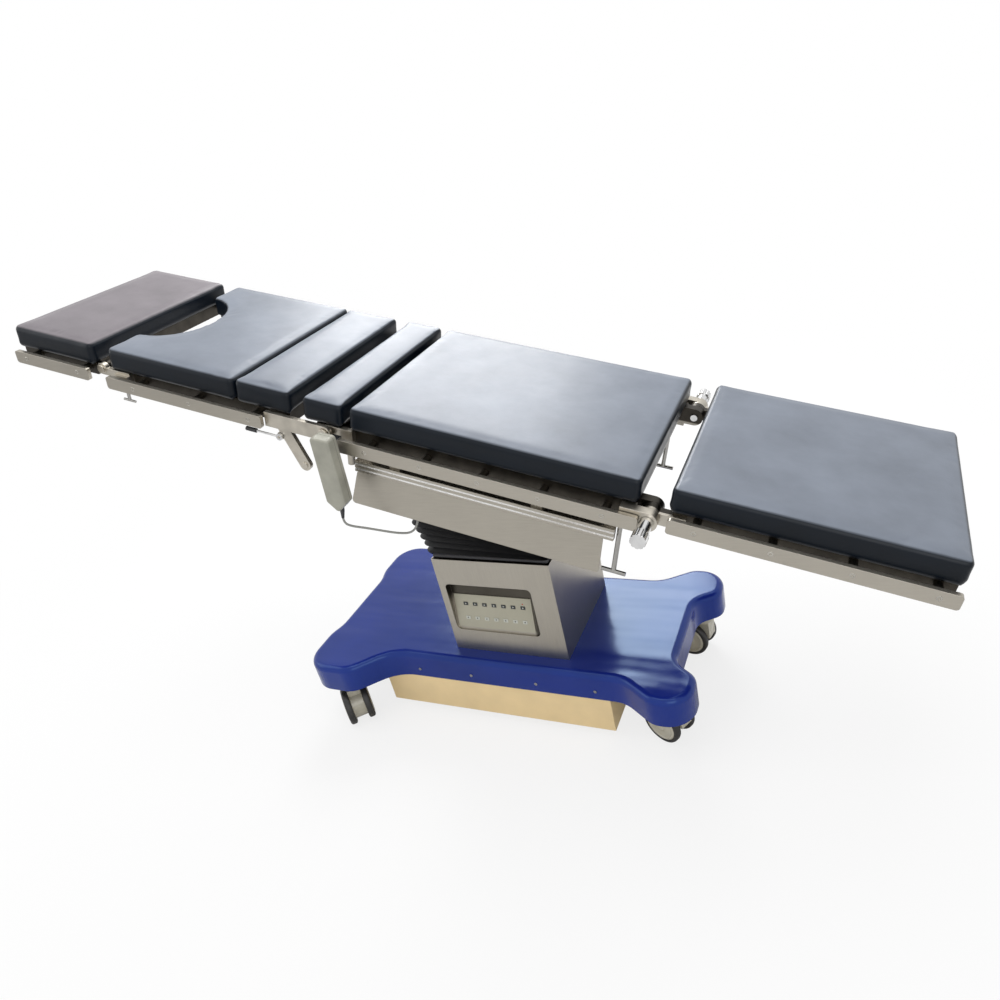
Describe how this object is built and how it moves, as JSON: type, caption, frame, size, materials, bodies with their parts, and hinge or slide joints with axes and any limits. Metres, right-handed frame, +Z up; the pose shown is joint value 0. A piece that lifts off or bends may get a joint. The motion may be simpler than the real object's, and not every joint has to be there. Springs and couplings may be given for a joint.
{
  "type": "operating table",
  "caption": "Hospital operating table with a tilting sectioned top of black pads, accessory rails, a lifting column in bellows and a base on castors.",
  "frame": {"origin": "centre of the footprint, on the floor", "axes": "+X along the table towards the leg end, +Y across it, +Z up"},
  "size_m": [2.0376, 0.64, 1.155],
  "materials": {
    "pad": "satin black upholstery",
    "steel": "brushed",
    "chrome": "polished",
    "base_blue": "glossy royal blue",
    "chassis": "dark paint",
    "pan": "tan paint",
    "bellows": "matt black",
    "castor": "cream",
    "wheel": "cream disc with a dark tread",
    "handset": "light grey-green",
    "keypad": "satin membrane",
    "dark_plastic": "matt",
    "cord": "matt"
  },
  "bodies": {
    "base": {"base_cover": "base_blue", "base_chassis": "chassis", "base_pan": "pan", "skirt_screws": "chrome", "column_cover": "steel", "control_panel": "keypad", "lift_guide": "chassis", "lift_cylinder": "chassis", "battery_pack": "dark_plastic", "mains_inlet": "dark_plastic"},
    "column": {"inner_column": "steel", "column_head": "chassis", "lift_ram": "chrome", "bellows": "bellows", "tilt_shaft": "chrome"},
    "yoke": {"tilt_yoke": "chassis", "roll_shaft": "chrome"},
    "table": {"seat_frame": "steel", "table_frame": "steel", "side_cover_near": "steel", "side_cover_far": "steel", "seat_rails": "steel", "seat_pad": "pad", "handset_shell": "handset", "handset_keypad": "keypad", "handset_hook": "chrome", "handset_gland": "dark_plastic", "handset_cord": "cord", "handset_socket": "dark_plastic"},
    "bridge": {"bridge_frame": "steel", "bridge_pad": "pad"},
    "back": {"back_frame": "steel", "back_rails": "steel", "back_pad": "pad", "lumbar_pad": "pad"},
    "head": {"head_frame": "steel", "head_rails": "steel", "head_pad": "pad"},
    "leg": {"leg_frame": "steel", "leg_rails": "steel", "leg_pad": "pad"},
    "back_lever": {"back_lever": "chrome"},
    "leg_clamp_near": {"leg_clamp_near": "chrome"},
    "head_clamp_near": {"head_clamp_near": "chrome"},
    "leg_knob_near": {"leg_knob_near": "chrome"},
    "leg_clamp_far": {"leg_clamp_far": "chrome"},
    "head_clamp_far": {"head_clamp_far": "chrome"},
    "leg_knob_far": {"leg_knob_far": "chrome"},
    "castor_head_near": {"castor_fork_head_near": "castor"},
    "wheel_head_near_1": {"castor_wheel_head_near_1": "wheel"},
    "wheel_head_near_2": {"castor_wheel_head_near_2": "wheel"},
    "castor_head_far": {"castor_fork_head_far": "castor"},
    "wheel_head_far_1": {"castor_wheel_head_far_1": "wheel"},
    "wheel_head_far_2": {"castor_wheel_head_far_2": "wheel"},
    "castor_foot_near": {"castor_fork_foot_near": "castor"},
    "wheel_foot_near_1": {"castor_wheel_foot_near_1": "wheel"},
    "wheel_foot_near_2": {"castor_wheel_foot_near_2": "wheel"},
    "castor_foot_far": {"castor_fork_foot_far": "castor"},
    "wheel_foot_far_1": {"castor_wheel_foot_far_1": "wheel"},
    "wheel_foot_far_2": {"castor_wheel_foot_far_2": "wheel"}
  },
  "joints": [
    {"name": "column_lift", "type": "slide", "parent": "base", "child": "column", "axis": [0, 0, 1], "range_m": [0, 0.22]},
    {"name": "table_tilt", "type": "hinge", "parent": "column", "child": "yoke", "pos_m": [0.06875, 0, 0.57], "axis": [0, 1, 0], "range_deg": [-40.7, 9.3], "deforming": ["bellows"]},
    {"name": "table_roll", "type": "hinge", "parent": "yoke", "child": "table", "pos_m": [0.09811, 0, 0.67445], "axis": [0.9627, 0, -0.2706], "range_deg": [-18, 18]},
    {"name": "bridge_slide", "type": "slide", "parent": "table", "child": "bridge", "axis": [0.2706, 0, 0.9627], "range_m": [0, 0.11]},
    {"name": "back_hinge", "type": "hinge", "parent": "table", "child": "back", "pos_m": [-0.17642, 0, 0.85446], "axis": [0, -1, 0], "range_deg": [-70, 20]},
    {"name": "head_hinge", "type": "hinge", "parent": "back", "child": "head", "pos_m": [-0.76358, 0, 1.03092], "axis": [0, -1, 0], "range_deg": [-40, 90]},
    {"name": "leg_hinge", "type": "hinge", "parent": "table", "child": "leg", "pos_m": [0.49145, 0, 0.65842], "axis": [0, 1, 0], "range_deg": [-15, 65]},
    {"name": "back_lever_pivot", "type": "hinge", "parent": "back", "child": "back_lever", "pos_m": [-0.29221, -0.258, 0.85272], "axis": [0, -1, 0], "range_deg": [0, 12], "stiffness_Nm_per_rad": 0.5},
    {"name": "leg_clamp_turn_near", "type": "hinge", "parent": "table", "child": "leg_clamp_near", "pos_m": [0.42797, -0.22, 0.62848], "axis": [0.2706, 0, 0.9627], "range_deg": [-180, 180]},
    {"name": "head_clamp_turn_near", "type": "hinge", "parent": "back", "child": "head_clamp_near", "pos_m": [-0.71625, -0.236, 0.98127], "axis": [0.2706, 0, 0.9627], "range_deg": [-180, 180]},
    {"name": "leg_knob_turn_near", "type": "hinge", "parent": "table", "child": "leg_knob_near", "pos_m": [0.49145, -0.28, 0.65842], "axis": [0, 1, 0], "range_deg": [-180, 180]},
    {"name": "leg_clamp_turn_far", "type": "hinge", "parent": "table", "child": "leg_clamp_far", "pos_m": [0.42797, 0.22, 0.62848], "axis": [0.2706, 0, 0.9627], "range_deg": [-180, 180]},
    {"name": "head_clamp_turn_far", "type": "hinge", "parent": "back", "child": "head_clamp_far", "pos_m": [-0.71625, 0.236, 0.98127], "axis": [0.2706, 0, 0.9627], "range_deg": [-180, 180]},
    {"name": "leg_knob_turn_far", "type": "hinge", "parent": "table", "child": "leg_knob_far", "pos_m": [0.49145, 0.28, 0.65842], "axis": [0, 1, 0], "range_deg": [-180, 180]},
    {"name": "swivel_head_near", "type": "hinge", "parent": "base", "child": "castor_head_near", "pos_m": [-0.40525, -0.227, 0.14], "axis": [0, 0, 1], "continuous": true},
    {"name": "roll_head_near_1", "type": "hinge", "parent": "castor_head_near", "child": "wheel_head_near_1", "pos_m": [-0.38302, -0.25002, 0.05], "axis": [0.7193, 0.6947, 0], "continuous": true},
    {"name": "roll_head_near_2", "type": "hinge", "parent": "castor_head_near", "child": "wheel_head_near_2", "pos_m": [-0.38302, -0.25002, 0.05], "axis": [0.7193, 0.6947, 0], "continuous": true},
    {"name": "swivel_head_far", "type": "hinge", "parent": "base", "child": "castor_head_far", "pos_m": [-0.40525, 0.227, 0.14], "axis": [0, 0, 1], "continuous": true},
    {"name": "roll_head_far_1", "type": "hinge", "parent": "castor_head_far", "child": "wheel_head_far_1", "pos_m": [-0.43532, 0.21605, 0.05], "axis": [0.342, -0.9397, 0], "continuous": true},
    {"name": "roll_head_far_2", "type": "hinge", "parent": "castor_head_far", "child": "wheel_head_far_2", "pos_m": [-0.43532, 0.21605, 0.05], "axis": [0.342, -0.9397, 0], "continuous": true},
    {"name": "swivel_foot_near", "type": "hinge", "parent": "base", "child": "castor_foot_near", "pos_m": [0.46875, -0.158, 0.14], "axis": [0, 0, 1], "continuous": true},
    {"name": "roll_foot_near_1", "type": "hinge", "parent": "castor_foot_near", "child": "wheel_foot_near_1", "pos_m": [0.43999, -0.14397, 0.05], "axis": [-0.4384, -0.8988, 0], "continuous": true},
    {"name": "roll_foot_near_2", "type": "hinge", "parent": "castor_foot_near", "child": "wheel_foot_near_2", "pos_m": [0.43999, -0.14397, 0.05], "axis": [-0.4384, -0.8988, 0], "continuous": true},
    {"name": "swivel_foot_far", "type": "hinge", "parent": "base", "child": "castor_foot_far", "pos_m": [0.46875, 0.158, 0.14], "axis": [0, 0, 1], "continuous": true},
    {"name": "roll_foot_far_1", "type": "hinge", "parent": "castor_foot_far", "child": "wheel_foot_far_1", "pos_m": [0.43757, 0.1652, 0.05], "axis": [-0.225, -0.9744, 0], "continuous": true},
    {"name": "roll_foot_far_2", "type": "hinge", "parent": "castor_foot_far", "child": "wheel_foot_far_2", "pos_m": [0.43757, 0.1652, 0.05], "axis": [-0.225, -0.9744, 0], "continuous": true}
  ]
}
